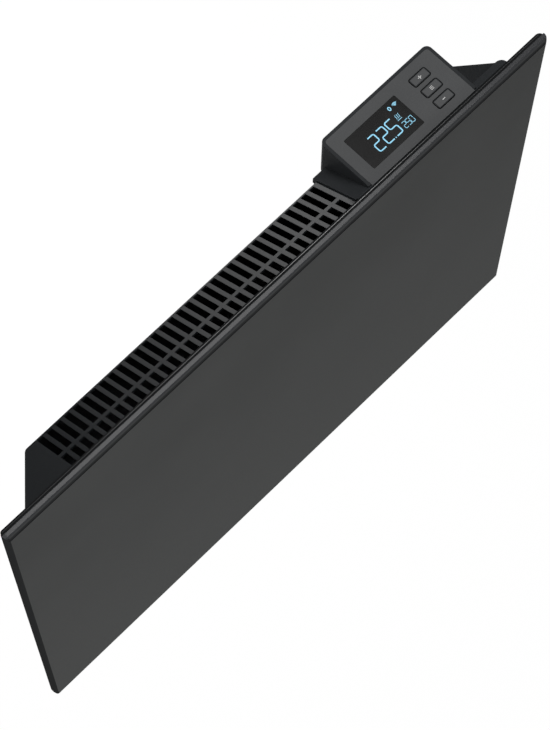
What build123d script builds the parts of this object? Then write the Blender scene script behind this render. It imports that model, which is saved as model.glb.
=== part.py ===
from build123d import *
import math
import os

os.makedirs("parts", exist_ok=True)

# A wall panel convector heater, in millimetres.
# X runs along the panel, Y towards the wall and Z upwards.
# The origin lies on the wall, in the middle of the four wall screws.

# Overall sizes
panel_width = 447.0
panel_height = 371.3
wall_distance = 72.0
screw_drop = 208.3

# Front panel, a folded steel tray with a hemmed top edge
panel_depth = 7.0
panel_sheet = 1.2
panel_corner = 4.2
side_bulge = 2.2
back_bulge = 1.5
bulge_place_share = 0.55
bead_rise = 3.3
bead_setback = 1.85
bead_width = 2.9
bead_round = 0.45
hem_depth = 3.5
hem_drop = 5.0
groove_width = 1.0
groove_depth = 0.9
back_fold = 14.0

# Frame that stiffens the panel from behind
frame_sheet = 1.2
frame_margin = 3.7
frame_border = 46.0
flange_front_gap = 1.0
flange_height = 4.2
flange_end_gap = 0.6
flange_round = 2.4
bottom_gap = 2.5

# Rear casing, a pressed tray with four bevelled sides
casing_sheet = 1.2
casing_depth = 33.2
casing_slope = 34.5
casing_corner = 4.0
top_gap = 2.4
left_setback = 20.6
right_setback = 26.9
back_setback = 49.0
side_fold = 12.0

# Outlet and inlet grilles
slot_width = 4.2
slot_pitch = 7.0
long_slot = 23.2
short_slot = 11.9
slot_rib = 2.9
slot_back_gap = 1.3
grille_start = 59.9
grille_end_gap = 5.0

# Control unit, seated over the casing's top corner
unit_setback = 146.4
unit_width = 92.5
unit_front_gap = 1.2
unit_depth = 41.1
unit_height = 0.4
unit_skirt = 12.0
unit_wall = 2.0
unit_corner = 4.0
unit_seat_gap = 0.2
foot_width = 10.8
foot_thickness = 1.5
foot_back_sheet = 3.0
foot_back_drop = 6.0
ledge_side = 6.8
post_radius = 2.5
post_inset = 4.2
rail_width = 4.6
rail_reach = 26.0
rail_round = 3.6

# Face plate, display and keys of the control unit
plate_sheet = 1.6
plate_corner = 2.4
display_width = 43.0
display_depth = 25.4
display_left = 10.6
display_front = 5.7
display_corner = 0.8
glass_sheet = 1.0
glass_flange = 1.5
key_width = 13.0
key_depth = 6.0
key_pitch = 10.0
key_count = 3
key_left = 66.6
key_front = 5.4
key_corner = 1.0
key_proud = 0.3
key_flange = 0.8
key_flange_sheet = 0.8
key_travel = 0.8
key_gap = 0.6
stem_radius = 1.3
stem_gap = 0.2
guide_sheet = 1.5
guide_gap = 0.2
switch_side = 5.6
switch_height = 2.4
board_sheet = 1.6
board_margin = 1.0
board_drop = 9.0

# Heating element and its holders
element_end_room = 197.0
element_centre = -15.0
element_rise = 44.0
element_depth = 16.0
rod_radius = 4.0
rod_overhang = 16.0
boss_radius = 6.0
fin_sheet = 1.2
fin_pitch = 4.2
fins_each_side = 2
fin_height = 34.0
web_sheet = 1.8
fit_gap = 0.1
holder_sheet = 1.2
holder_height = 30.0
holder_foot = 14.0
holder_gap = 2.0
holder_rim = 3.0
bush_radius = 7.0
bush_groove = 1.0
bush_collar = 1.6
seal_length = 6.0
tag_length = 8.0
tag_width = 6.3
tag_sheet = 0.8

# Baffle between the element and the panel
baffle_sheet = 0.8
baffle_bottom_gap = 46.0
baffle_top_gap = 62.0
baffle_lap = 4.0

# Power board and what it carries
power_width = 74.0
power_height = 62.0
power_setback = 139.5
power_drop = 50.0
power_standoff = 6.0
standoff_radius = 3.0
standoff_inset = 5.0
relay_size = (19.0, 15.5, 15.0)
relay_place_share = (0.26, 0.70)
transformer_size = (22.0, 14.0, 17.0)
transformer_place_share = (0.72, 0.27)
plug_size = (16.0, 8.0, 8.0)
plug_place_share = (0.24, 0.20)
capacitor_radius = 5.0
capacitor_height = 12.0
capacitor_place_share = (0.74, 0.74)

# Mains entry
entry_setback = 71.5
entry_height = 24.0
terminal_size = (34.0, 14.0, 20.0)
terminal_rise = 26.0
terminal_poles = 3
pole_pitch = 10.0
pole_radius = 2.4
pole_depth = 4.0
gland_radius = 8.0
gland_length = 15.0
gland_flange = 11.0
gland_flange_sheet = 2.0
gland_bore = 3.7
gland_neck = 6.0
gland_nut_radius = 9.0
gland_nut_sheet = 4.0

# Safety cut-out, room sensor and earth stud
cutout_radius = 8.0
cutout_height = 6.0
cutout_rise = 150.0
strap_width = 8.0
strap_sheet = 0.8
strap_ear = 9.0
sensor_radius = 2.0
sensor_length = 16.0
sensor_setback = 95.5
sensor_rise = 16.0
clip_side = 8.0
stud_radius = 2.0
stud_length = 12.0
nut_radius = 4.0
nut_height = 3.2
stud_setback = 163.5

# Wall bracket, its screws and the lower spacers
bracket_sheet = 1.5
bracket_room = 217.0
bracket_height = 150.0
bracket_border = 26.0
arm_width = 22.0
arm_setback = 31.0
wall_screw_inset = 15.0
screw_hole_radius = 2.75
hook_rise = 9.0
hook_gap = 0.3
hook_slot_margin = 1.2
pad_height = 16.0
lock_radius = 2.0
lock_head = 4.0
lock_head_height = 2.2
lock_tip = 4.0
spacer_radius = 6.0
spacer_setback = 105.5
spacer_rise = 22.0
peg_radius = 2.5
peg_length = 4.0

# Small screws
screw_radius = 1.5
screw_head = 3.0
screw_head_height = 1.8
fold_screw_inset = 3.6
casing_screw_share = (0.06, 0.94)
panel_screw_share = (0.1, 0.9)
panel_screw_inset = 10.0

# Wires inside the casing
wire_radius = 1.3
wire_bend = 6.0
wire_lift = 8.0
wire_pitch = 6.0
lead_rise = 24.0
ribbon_width = 14.0
ribbon_sheet = 0.9

overrun = 5.0
side_count = 6

# Places worked out from the sizes above
top_z = screw_drop
bottom_z = top_z - panel_height
face_y = -wall_distance
panel_back_y = face_y + panel_depth
rim_y = panel_back_y + frame_sheet
casing_back_y = rim_y + casing_depth
casing_floor_y = casing_back_y - casing_sheet
flat_top_z = top_z - bead_rise
hem_back_y = face_y + bead_setback + bead_width
rim_top_z = flat_top_z - top_gap
rim_bottom_z = bottom_z + side_bulge + bottom_gap
slope_angle = math.radians(casing_slope)
slope_drop = casing_depth * math.tan(slope_angle)
corner_top_z = rim_top_z - slope_drop
corner_bottom_z = rim_bottom_z + slope_drop
panel_reach = panel_width / 2
bracket_width = panel_width - bracket_room
reach_left = panel_reach - left_setback
reach_right = panel_reach - right_setback
back_reach = panel_reach - back_setback
unit_left = panel_reach - unit_setback
first_slot_x = grille_start - panel_reach
slot_count = int((unit_left - foot_width - grille_end_gap - first_slot_x) / slot_pitch) + 1
element_length = panel_width - element_end_room
power_left = panel_reach - power_setback
entry_place = panel_reach - entry_setback
sensor_place = panel_reach - sensor_setback
stud_place = panel_reach - stud_setback
spacer_place = panel_reach - spacer_setback
arm_place = bracket_width / 2 - arm_setback
screw_reach_x = bracket_width / 2 - wall_screw_inset
screw_reach_z = bracket_height / 2 - wall_screw_inset


def block(low, high):
    """A box between two opposite corners."""
    size = [b - a for a, b in zip(low, high)]
    middle = [(a + b) / 2 for a, b in zip(low, high)]
    return Pos(*middle) * Box(*size)


def round_bar(start, axis, length, radius):
    """A cylinder from a start point along an axis."""
    plane = Plane(origin=start, z_dir=axis)
    return extrude(plane * Circle(radius), amount=length)


def hexagon_bar(start, axis, length, radius):
    """A six-sided bar from a start point along an axis."""
    plane = Plane(origin=start, z_dir=axis)
    return extrude(plane * RegularPolygon(radius, side_count), amount=length)


def prism_x(points, low_x, high_x):
    """A solid with an outline in Y and Z, from low_x to high_x."""
    outline = Polyline([(low_x, y, z) for y, z in points], close=True)
    return extrude(make_face(outline), amount=high_x - low_x, dir=(1, 0, 0))


def prism_z(points, low_z, high_z):
    """A solid with an outline in X and Y, from low_z to high_z."""
    outline = Polyline([(x, y, low_z) for x, y in points], close=True)
    return extrude(make_face(outline), amount=high_z - low_z, dir=(0, 0, 1))


def plate_z(low, high, radius):
    """A flat plate with rounded upright corners."""
    plate = block(low, high)
    return fillet(plate.edges().filter_by(Axis.Z), radius)


def write(node, shape):
    """Write one named part, and name what it is made of."""
    shape.label = node
    export_step(shape, os.path.join("parts", node + ".step"))


def group(solids):
    """Several separate solids kept in one part."""
    return Compound(children=list(solids))


# Front panel
def panel_block(inset, top_inset):
    """The tray's form, drawn in by a sheet's thickness where it is hollow."""
    half = panel_width / 2 - side_bulge - inset
    low_z = bottom_z + side_bulge + inset
    high_z = top_z - top_inset
    front_y = face_y + inset
    back_y = panel_back_y - inset
    middle_y = front_y + bulge_place_share * (back_y - front_y)
    right = ThreePointArc((half, front_y), (half + side_bulge, middle_y), (half + back_bulge, back_y))
    left = ThreePointArc((-half, front_y), (-half - side_bulge, middle_y), (-half - back_bulge, back_y))
    plan = make_face([Line(left @ 0, right @ 0), right, Line(right @ 1, left @ 1), left])
    upright = extrude(Pos(0, 0, bottom_z) * plan, amount=high_z - bottom_z)
    low_roll = ThreePointArc((front_y, low_z), (middle_y, low_z - side_bulge), (back_y, low_z - back_bulge))
    sides = Polyline(low_roll @ 1, (back_y, high_z), (front_y, high_z), low_roll @ 0)
    lengthwise = extrude(Plane.YZ * make_face([low_roll, sides]), amount=panel_width, both=True)
    outline = block((-half - side_bulge, front_y, low_z - side_bulge), (half + side_bulge, back_y, high_z))
    outline = fillet(outline.edges().filter_by(Axis.Y).group_by(Axis.Z)[0], panel_corner)
    return upright & lengthwise & outline


def front_panel():
    """Folded steel panel with bulged sides and a hemmed bead along the top."""
    tray = panel_block(0, 0)
    half = panel_width / 2 + overrun
    bead_front = [(face_y, flat_top_z), (face_y + bead_setback, top_z),
                  (face_y + bead_setback, top_z + overrun), (face_y - overrun, top_z + overrun),
                  (face_y - overrun, flat_top_z)]
    tray -= prism_x(bead_front, -half, half)
    tray -= block((-half, hem_back_y, top_z - hem_drop), (half, panel_back_y + overrun, top_z + overrun))
    tray -= block((-half, face_y - overrun, flat_top_z - groove_width),
                  (half, face_y + groove_depth, flat_top_z))
    tray = fillet(tray.faces().sort_by(Axis.Z)[-1].edges().filter_by(Axis.X), bead_round)
    tray -= panel_block(panel_sheet, hem_depth)
    window_half = panel_width / 2 - back_fold
    tray -= block((-window_half, panel_back_y - panel_sheet - overrun / 2, bottom_z + back_fold),
                  (window_half, panel_back_y + overrun, top_z - back_fold))
    tray -= [fold_hole(x, z) for x, z in panel_screw_places()]
    return tray


def panel_frame():
    """Flat steel frame between the panel's folds and the casing, with a sloped flange on top."""
    half = panel_width / 2 - frame_margin
    low_z = bottom_z + frame_margin
    plate = block((-half, panel_back_y, low_z), (half, rim_y, flat_top_z))
    inner = half - frame_border
    hole = block((-inner, panel_back_y - overrun, low_z + frame_border),
                 (inner, rim_y + overrun, flat_top_z - frame_border))
    plate -= hole
    flange_low_z = top_z - flange_height
    flange = [(hem_back_y + fit_gap, flange_low_z), (rim_y, flange_low_z), (rim_y, flat_top_z),
              (hem_back_y + fit_gap, top_z - flange_front_gap)]
    reach = panel_width / 2 - flange_end_gap
    lip = prism_x(flange, -reach, reach)
    ends = block((-reach, hem_back_y, flange_low_z), (reach, rim_y, top_z))
    plate += lip & fillet(ends.edges().filter_by(Axis.Z).group_by(Axis.Y)[-1], flange_round)
    plate -= [fold_hole(x, z) for x, z in casing_screw_places() + panel_screw_places()]
    return plate


# Rear casing
def casing_top(y):
    """Height of the sloped top's outer face at a depth."""
    return rim_top_z - (y - rim_y) * math.tan(slope_angle)


def casing_low(y):
    """Height of the sloped bottom's outer face at a depth."""
    return rim_bottom_z + (y - rim_y) * math.tan(slope_angle)


def casing_side(reach, y):
    """Distance of a bevelled side from the middle at a depth."""
    return reach + (back_reach - reach) * (y - rim_y) / casing_depth


def side_thickness(reach):
    """A sheet's thickness measured along X on a bevelled side."""
    return casing_sheet * math.hypot(casing_depth, reach - back_reach) / casing_depth


def casing_block(inset_share, front_y):
    """The tray's outer form at share 0, and its hollow at share 1."""
    rise = inset_share * casing_sheet / math.cos(slope_angle)
    left = inset_share * side_thickness(reach_left)
    right = inset_share * side_thickness(reach_right)
    back_y = casing_back_y - inset_share * casing_sheet
    profile = [(front_y, casing_low(front_y) + rise), (back_y, casing_low(back_y) + rise),
               (back_y, casing_top(back_y) - rise), (front_y, casing_top(front_y) - rise)]
    plan = [(-casing_side(reach_left, front_y) + left, front_y),
            (-casing_side(reach_left, back_y) + left, back_y),
            (casing_side(reach_right, back_y) - right, back_y),
            (casing_side(reach_right, front_y) - right, front_y)]
    lengthwise = prism_x(profile, -panel_width, panel_width)
    upright = prism_z(plan, bottom_z - panel_height, top_z + panel_height)
    back_edges = upright.edges().filter_by(Axis.Z).group_by(Axis.Y)[-1]
    return lengthwise & fillet(back_edges, casing_corner - inset_share * casing_sheet)


def slot_cutters(centre_z, tilt):
    """Two rows of slots across a sloped side, long ones next to the back."""
    back_centre = casing_depth / math.cos(slope_angle) - slot_back_gap - long_slot / 2
    front_centre = back_centre - long_slot / 2 - slot_rib - short_slot / 2
    cutters = []
    for centre, length in ((back_centre, long_slot), (front_centre, short_slot)):
        y = rim_y + centre * math.cos(slope_angle)
        z = centre_z - tilt * centre * math.sin(slope_angle)
        for number in range(slot_count):
            cutter = Rot(X=-tilt * casing_slope) * Box(slot_width, length, overrun)
            cutters.append(Pos(first_slot_x + number * slot_pitch, y, z) * cutter)
    return cutters


def hook_slots():
    """Slots in the casing's back: each has dropped onto a hook's arm."""
    half = arm_width / 2 + hook_slot_margin
    high = bracket_sheet - bracket_height / 2
    low = high - bracket_sheet - hook_rise - 2 * hook_slot_margin
    return [block((side * arm_place - half, casing_floor_y - hook_slot_margin, low),
                  (side * arm_place + half, casing_back_y + overrun, high)) for side in (-1, 1)]


def back_hole(x, z, radius):
    """A cutter through the casing's back."""
    return round_bar((x, casing_floor_y - overrun, z), (0, 1, 0), casing_sheet + 2 * overrun, radius)


def rear_casing():
    """Pressed steel tray with the outlet grille above and the inlet below."""
    tray = casing_block(0, rim_y)
    fold_low = (-panel_width, rim_y, bottom_z)
    fold_high = (panel_width, rim_y + casing_sheet, top_z)
    folds = tray & block(fold_low, fold_high)
    tray -= casing_block(1, rim_y - overrun)
    folds -= block((side_fold - reach_left, rim_y - overrun, bottom_z),
                   (reach_right - side_fold, rim_y + overrun, top_z))
    tray += folds
    tray -= slot_cutters(rim_top_z, 1)
    tray -= slot_cutters(rim_bottom_z, -1)
    tray -= hook_slots()
    tray -= unit_opening()
    tray -= back_hole(entry_place, entry_z, gland_neck + fit_gap)
    tray -= [back_hole(x, z, lock_radius + fit_gap) for x, z in lock_places()]
    tray -= [back_hole(x, z, peg_radius + fit_gap) for x, z in spacer_places()]
    tray -= [back_hole(x, z, screw_radius + fit_gap) for x, z, grip in floor_screw_places()]
    tray -= [fold_hole(x, z) for x, z in casing_screw_places()]
    return tray


def fold_hole(x, z):
    """A cutter through the casing's fold and the frame, or the frame and the panel."""
    start_y = panel_back_y - panel_sheet - overrun / 2
    return round_bar((x, start_y, z), (0, 1, 0), 2 * overrun, screw_radius + fit_gap)


# Control unit
unit_right = unit_left + unit_width
unit_front_y = rim_y + unit_front_gap
unit_back_y = unit_front_y + unit_depth
unit_top_z = flat_top_z + unit_height
plate_low_z = unit_top_z - plate_sheet
plate_left = unit_left + unit_wall
plate_right = unit_right - unit_wall
plate_front_y = unit_front_y
plate_back_y = unit_back_y - unit_wall
skirt_low_z = corner_top_z - unit_skirt
board_top_z = unit_top_z - board_drop


def over_casing(y):
    """Height of the control unit's underside above the sloped casing."""
    return casing_top(y) + unit_seat_gap / math.cos(slope_angle)


def unit_opening():
    """Cut-out in the casing's top under the control unit."""
    return block((unit_left + unit_wall, unit_front_y + unit_wall, corner_top_z + unit_wall),
                 (unit_right - unit_wall, casing_floor_y - unit_wall, top_z))


def saddle(low_x, high_x, rise, back_y, skirt_z):
    """A form that lies on the casing's slope and hangs over its back corner."""
    hang_y = casing_back_y + unit_seat_gap
    profile = [(unit_front_y, over_casing(unit_front_y)), (hang_y, over_casing(hang_y)),
               (hang_y, skirt_z), (back_y, skirt_z), (back_y, over_casing(back_y) + rise),
               (unit_front_y, over_casing(unit_front_y) + rise)]
    return prism_x(profile, low_x, high_x)


def control_housing():
    """Moulded housing that sits astride the casing's top corner."""
    hang_y = casing_back_y + unit_seat_gap
    outer = [(unit_front_y, over_casing(unit_front_y)), (hang_y, over_casing(hang_y)), (hang_y, skirt_low_z),
             (unit_back_y, skirt_low_z), (unit_back_y, unit_top_z), (unit_front_y, unit_top_z)]
    body = prism_x(outer, unit_left, unit_right)
    body = fillet(body.edges().filter_by(Axis.Z).group_by(Axis.Y)[-1], unit_corner)
    inner_back_y = unit_back_y - unit_wall
    body -= block((unit_left + unit_wall, unit_front_y + unit_wall, corner_top_z + unit_wall),
                  (unit_right - unit_wall, inner_back_y, plate_low_z - unit_wall))
    body -= block((unit_left + unit_wall, hang_y + unit_wall, skirt_low_z - overrun),
                  (unit_right - unit_wall, inner_back_y, corner_top_z))
    body -= block((plate_left + ledge_side, plate_front_y + unit_wall, corner_top_z),
                  (plate_right - ledge_side, inner_back_y - unit_wall, top_z + overrun))
    body -= plate_z((plate_left, plate_front_y - unit_corner, plate_low_z),
                    (plate_right, plate_back_y, top_z + overrun), plate_corner)
    post_height = plate_low_z - unit_wall - board_top_z
    for x in (plate_left + post_inset, plate_right - post_inset):
        for y in (unit_front_y + unit_wall + 2 * post_inset, inner_back_y - post_inset):
            body += hexagon_bar((x, y, board_top_z), (0, 0, 1), post_height, post_radius)
    foot_back_y = casing_back_y + unit_seat_gap + foot_back_sheet
    foot = saddle(unit_left - foot_width, unit_left + unit_wall, foot_thickness, foot_back_y,
                  corner_top_z - foot_back_drop)
    rail = prism_x([(unit_front_y, over_casing(unit_front_y)),
                    (unit_front_y + rail_width, over_casing(unit_front_y + rail_width)),
                    (unit_front_y + rail_width, over_casing(unit_front_y + rail_width) + foot_thickness),
                    (unit_front_y, over_casing(unit_front_y) + foot_thickness)],
                   unit_right - unit_wall, unit_right + rail_reach)
    plan = block((unit_right - unit_wall, unit_front_y, corner_top_z),
                 (unit_right + rail_reach, unit_front_y + rail_width, top_z))
    far_edge = plan.edges().filter_by(Axis.Z).group_by(Axis.X)[-1].sort_by(Axis.Y)[-1]
    return body + foot + (rail & fillet(far_edge, rail_round))


def key_centre(number):
    """Centre of a key on the face plate, counted from the front."""
    x = unit_left + key_left + key_width / 2
    y = plate_front_y + key_front + key_depth / 2 + number * key_pitch
    return x, y


def window_box(margin, low_z, high_z):
    """The display window's outline, wider by a margin."""
    low_x = unit_left + display_left - margin
    low_y = plate_front_y + display_front - margin
    high_x = low_x + display_width + 2 * margin
    high_y = low_y + display_depth + 2 * margin
    return (low_x, low_y, low_z), (high_x, high_y, high_z)


def key_box(number, margin, low_z, high_z):
    """A key's outline, wider by a margin."""
    x, y = key_centre(number)
    half_x = key_width / 2 + margin
    half_y = key_depth / 2 + margin
    return (x - half_x, y - half_y, low_z), (x + half_x, y + half_y, high_z)


def control_plate():
    """Face plate with the display's window and the key holes."""
    plate = plate_z((plate_left + fit_gap, plate_front_y, plate_low_z),
                    (plate_right - fit_gap, plate_back_y - fit_gap, unit_top_z), plate_corner - fit_gap)
    low, high = window_box(fit_gap, plate_low_z - overrun, unit_top_z + overrun)
    plate -= plate_z(low, high, display_corner)
    for number in range(key_count):
        low, high = key_box(number, key_gap, plate_low_z - overrun, unit_top_z + overrun)
        plate -= plate_z(low, high, key_corner + key_gap)
    return plate


glass_low_z = plate_low_z - glass_sheet
key_flange_top_z = plate_low_z - guide_gap
key_flange_low_z = key_flange_top_z - key_flange_sheet
guide_top_z = key_flange_low_z - key_travel - guide_gap
guide_low_z = guide_top_z - guide_sheet


def display_window():
    """Dark display glass with a flange behind the face plate."""
    low, high = window_box(0, plate_low_z, unit_top_z)
    glass = plate_z(low, high, display_corner)
    low, high = window_box(glass_flange, glass_low_z, plate_low_z)
    return glass + block(low, high)


def display_module():
    """Display module between the glass and the control board."""
    low, high = window_box(0, board_top_z, glass_low_z)
    frame = block(low, high)
    low, high = window_box(-glass_flange, glass_low_z - glass_sheet, glass_low_z + overrun)
    return frame - block(low, high)


def key(number):
    """A sprung key: cap, flange under the plate, and a stem to its switch."""
    low, high = key_box(number, 0, key_flange_top_z, unit_top_z + key_proud)
    cap = plate_z(low, high, key_corner)
    low, high = key_box(number, key_flange + key_gap, key_flange_low_z, key_flange_top_z)
    cap += block(low, high)
    x, y = key_centre(number)
    stem_low_z = board_top_z + switch_height - stem_reach
    stem = round_bar((x, y, stem_low_z), (0, 0, 1), key_flange_low_z - stem_low_z, stem_radius)
    return cap + stem


stem_reach = switch_height - key_travel - 2 * stem_gap


def key_guide():
    """Guide plate that the key stems slide in."""
    low = key_box(0, key_flange + key_gap, guide_low_z, guide_top_z)[0]
    far = key_box(key_count - 1, key_flange + key_gap, guide_low_z, guide_top_z)[1]
    plate = block(low, far)
    for number in range(key_count):
        x, y = key_centre(number)
        plate -= round_bar((x, y, guide_low_z - overrun), (0, 0, 1), guide_sheet + 2 * overrun,
                           stem_radius + stem_gap)
    for x in (low[0] + stem_radius, far[0] - stem_radius):
        for y in (low[1] + stem_radius, far[1] - stem_radius):
            plate += hexagon_bar((x, y, board_top_z), (0, 0, 1), guide_low_z - board_top_z, stem_radius)
    return plate


def tact_switches():
    """The three switches on the control board, each with a bore for a stem."""
    switches = []
    for number in range(key_count):
        x, y = key_centre(number)
        half = switch_side / 2
        body = block((x - half, y - half, board_top_z), (x + half, y + half, board_top_z + switch_height))
        bore = round_bar((x, y, board_top_z + stem_gap), (0, 0, 1), switch_height, stem_radius + stem_gap)
        switches.append(body - bore)
    return group(switches)


def control_board():
    """Circuit board of the control unit, held against the housing's posts."""
    low_x = unit_left + unit_wall + board_margin
    high_x = unit_right - unit_wall - board_margin
    low_y = unit_front_y + unit_wall + board_margin
    high_y = unit_back_y - unit_wall - board_margin
    low_z = board_top_z - board_sheet
    return block((low_x, low_y, low_z), (high_x, high_y, board_top_z))


# Heating element
element_y = casing_floor_y - element_depth
element_z = corner_bottom_z + element_rise
element_left = element_centre - element_length / 2
element_right = element_centre + element_length / 2
rod_left = element_left - rod_overhang
rod_right = element_right + rod_overhang


def element_fins():
    """Aluminium extrusion: a bored boss, a web and upright fins either side."""
    length = (element_left, element_right)
    boss = round_bar((element_left, element_y, element_z), (1, 0, 0), element_length, boss_radius)
    reach = fins_each_side * fin_pitch + boss_radius - fin_pitch + fin_sheet
    solid = boss + block((length[0], element_y - reach, element_z - web_sheet / 2),
                         (length[1], element_y + reach, element_z + web_sheet / 2))
    for side in (-1, 1):
        for number in range(fins_each_side):
            y = element_y + side * (boss_radius + number * fin_pitch)
            solid += block((length[0], y - fin_sheet / 2, element_z - fin_height / 2),
                           (length[1], y + fin_sheet / 2, element_z + fin_height / 2))
    solid += block((length[0], element_y - fin_sheet / 2, element_z - fin_height / 2),
                   (length[1], element_y + fin_sheet / 2, element_z + fin_height / 2))
    return solid - round_bar((element_left - overrun, element_y, element_z), (1, 0, 0),
                             element_length + 2 * overrun, rod_radius + fit_gap)


def element_rod():
    """Sheathed heating rod through the fins."""
    return round_bar((rod_left, element_y, element_z), (1, 0, 0), rod_right - rod_left, rod_radius)


def rod_seals():
    """Ceramic ends of the rod."""
    return group([round_bar((x, element_y, element_z), (side, 0, 0), seal_length, rod_radius)
                  for x, side in ((rod_left, -1), (rod_right, 1))])


def terminal_tags():
    """Flat connection tags at the rod's two ends."""
    tags = []
    for x, side in ((rod_left - seal_length, -1), (rod_right + seal_length, 1)):
        ends = sorted((x, x + side * tag_length))
        tags.append(block((ends[0], element_y - tag_sheet / 2, element_z - tag_width / 2),
                          (ends[1], element_y + tag_sheet / 2, element_z + tag_width / 2)))
    return group(tags)


def holder_places():
    """Outer face of each element holder and the side its foot points to."""
    return ((element_left - holder_gap - holder_sheet, -1), (element_right + holder_gap + holder_sheet, 1))


def element_holder(place, side):
    """Bent sheet holder with a foot on the casing's back."""
    low_z = element_z - holder_height / 2
    high_z = element_z + holder_height / 2
    inner = place - side * holder_sheet
    xs = sorted((inner, place))
    front_y = element_y - bush_radius - holder_rim
    plate = block((xs[0], front_y, low_z), (xs[1], casing_floor_y, high_z))
    foot = sorted((inner, place + side * holder_foot))
    plate += block((foot[0], casing_floor_y - holder_sheet, low_z), (foot[1], casing_floor_y, high_z))
    start = (xs[0] - overrun, element_y, element_z)
    plate -= round_bar(start, (1, 0, 0), holder_sheet + 2 * overrun, bush_radius)
    hole = (place + side * holder_foot / 2, casing_floor_y - overrun, element_z)
    return plate - round_bar(hole, (0, 1, 0), 2 * overrun, screw_radius + fit_gap)


def holder_bush(place, side):
    """Grooved insulating bush between the rod and its holder."""
    inner = place - side * holder_sheet
    xs = sorted((inner, place))
    bush = round_bar((xs[0], element_y, element_z), (1, 0, 0), holder_sheet, bush_radius)
    for x, way in ((xs[0], -1), (xs[1], 1)):
        bush += round_bar((x, element_y, element_z), (way, 0, 0), bush_collar, bush_radius + bush_groove)
    start = (xs[0] - overrun, element_y, element_z)
    return bush - round_bar(start, (1, 0, 0), holder_sheet + 2 * overrun, rod_radius)


def heat_baffle():
    """Thin sheet that keeps the element's heat off the front panel."""
    front_y = rim_y + casing_sheet
    return block((side_fold - reach_left - baffle_lap, front_y, rim_bottom_z + baffle_bottom_gap),
                 (reach_right - side_fold + baffle_lap, front_y + baffle_sheet, rim_top_z - baffle_top_gap))


# Power board
power_top_z = corner_top_z - power_drop
power_low_z = power_top_z - power_height
power_back_y = casing_floor_y - power_standoff
power_front_y = power_back_y - board_sheet


def power_board():
    """Upright circuit board that switches the element."""
    return block((power_left, power_front_y, power_low_z),
                 (power_left + power_width, power_back_y, power_top_z))


def board_standoffs():
    """Four posts that hold the power board off the casing's back."""
    posts = []
    for x in (power_left + standoff_inset, power_left + power_width - standoff_inset):
        for z in (power_low_z + standoff_inset, power_top_z - standoff_inset):
            posts.append(hexagon_bar((x, power_back_y, z), (0, 1, 0), power_standoff, standoff_radius))
    return group(posts)


def board_place(share):
    """A place on the power board, in X and Z."""
    return power_left + share[0] * power_width, power_low_z + share[1] * power_height


def board_brick(size, share):
    """A box-shaped component on the power board's front."""
    x, z = board_place(share)
    return block((x - size[0] / 2, power_front_y - size[1], z - size[2] / 2),
                 (x + size[0] / 2, power_front_y, z + size[2] / 2))


def board_relay():
    """Relay that switches the element's current."""
    return board_brick(relay_size, relay_place_share)


def board_transformer():
    """Low-voltage supply of the control unit."""
    return board_brick(transformer_size, transformer_place_share)


def board_plug():
    """Connector of the element's leads."""
    return board_brick(plug_size, plug_place_share)


def board_capacitor():
    """Smoothing capacitor."""
    x, z = board_place(capacitor_place_share)
    return round_bar((x, power_front_y, z), (0, -1, 0), capacitor_height, capacitor_radius)


# Mains entry, sensors and earth
entry_z = corner_bottom_z + entry_height
terminal_z = entry_z + terminal_rise


def terminal_block():
    """Terminal block on the casing's back, with a bore for each pole."""
    width, depth, height = terminal_size
    body = block((entry_place - width / 2, casing_floor_y - depth, terminal_z - height / 2),
                 (entry_place + width / 2, casing_floor_y, terminal_z + height / 2))
    for number in range(terminal_poles):
        x = entry_place + (number - (terminal_poles - 1) / 2) * pole_pitch
        body -= round_bar((x, casing_floor_y - depth / 2, terminal_z - height / 2 - overrun), (0, 0, 1),
                          overrun + pole_depth, pole_radius)
    return body


def cable_gland():
    """Gland in the casing's back for the mains cord."""
    neck_start = (entry_place, casing_floor_y - gland_nut_sheet, entry_z)
    gland = round_bar(neck_start, (0, 1, 0), gland_nut_sheet + casing_sheet, gland_neck)
    gland += hexagon_bar((entry_place, casing_back_y, entry_z), (0, 1, 0), gland_flange_sheet, gland_flange)
    gland += round_bar((entry_place, casing_back_y, entry_z), (0, 1, 0), gland_length, gland_radius)
    bore_start = (entry_place, casing_floor_y - gland_nut_sheet - overrun, entry_z)
    bore_length = gland_nut_sheet + casing_sheet + gland_length + 2 * overrun
    return gland - round_bar(bore_start, (0, 1, 0), bore_length, gland_bore)


def gland_nut():
    """Hexagon nut of the gland, inside the casing."""
    start = (entry_place, casing_floor_y - gland_nut_sheet, entry_z)
    nut = hexagon_bar(start, (0, 1, 0), gland_nut_sheet, gland_nut_radius)
    start = (entry_place, casing_floor_y - gland_nut_sheet - overrun, entry_z)
    return nut - round_bar(start, (0, 1, 0), gland_nut_sheet + 2 * overrun, gland_neck + fit_gap)


cutout_x = element_centre
cutout_z = corner_bottom_z + cutout_rise
strap_half = cutout_radius + strap_sheet + fit_gap


def thermal_cutout():
    """Safety cut-out, a disc against the casing's back."""
    return round_bar((cutout_x, casing_floor_y, cutout_z), (0, -1, 0), cutout_height, cutout_radius)


def cutout_strap():
    """Bent strap that holds the cut-out, with a screw through each ear."""
    low_z = cutout_z - strap_width / 2
    high_z = cutout_z + strap_width / 2
    front_y = casing_floor_y - cutout_height
    reach = strap_half + strap_ear
    strap = block((cutout_x - reach, casing_floor_y - strap_sheet, low_z),
                  (cutout_x + reach, casing_floor_y, high_z))
    strap += block((cutout_x - strap_half, front_y - strap_sheet, low_z),
                   (cutout_x + strap_half, casing_floor_y, high_z))
    inner = strap_half - strap_sheet
    strap -= block((cutout_x - inner, front_y, low_z - overrun),
                   (cutout_x + inner, casing_floor_y + overrun, high_z + overrun))
    for side in (-1, 1):
        start = (cutout_x + side * (strap_half + strap_ear / 2), casing_floor_y - overrun, cutout_z)
        strap -= round_bar(start, (0, 1, 0), 2 * overrun, screw_radius + fit_gap)
    return strap


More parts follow.
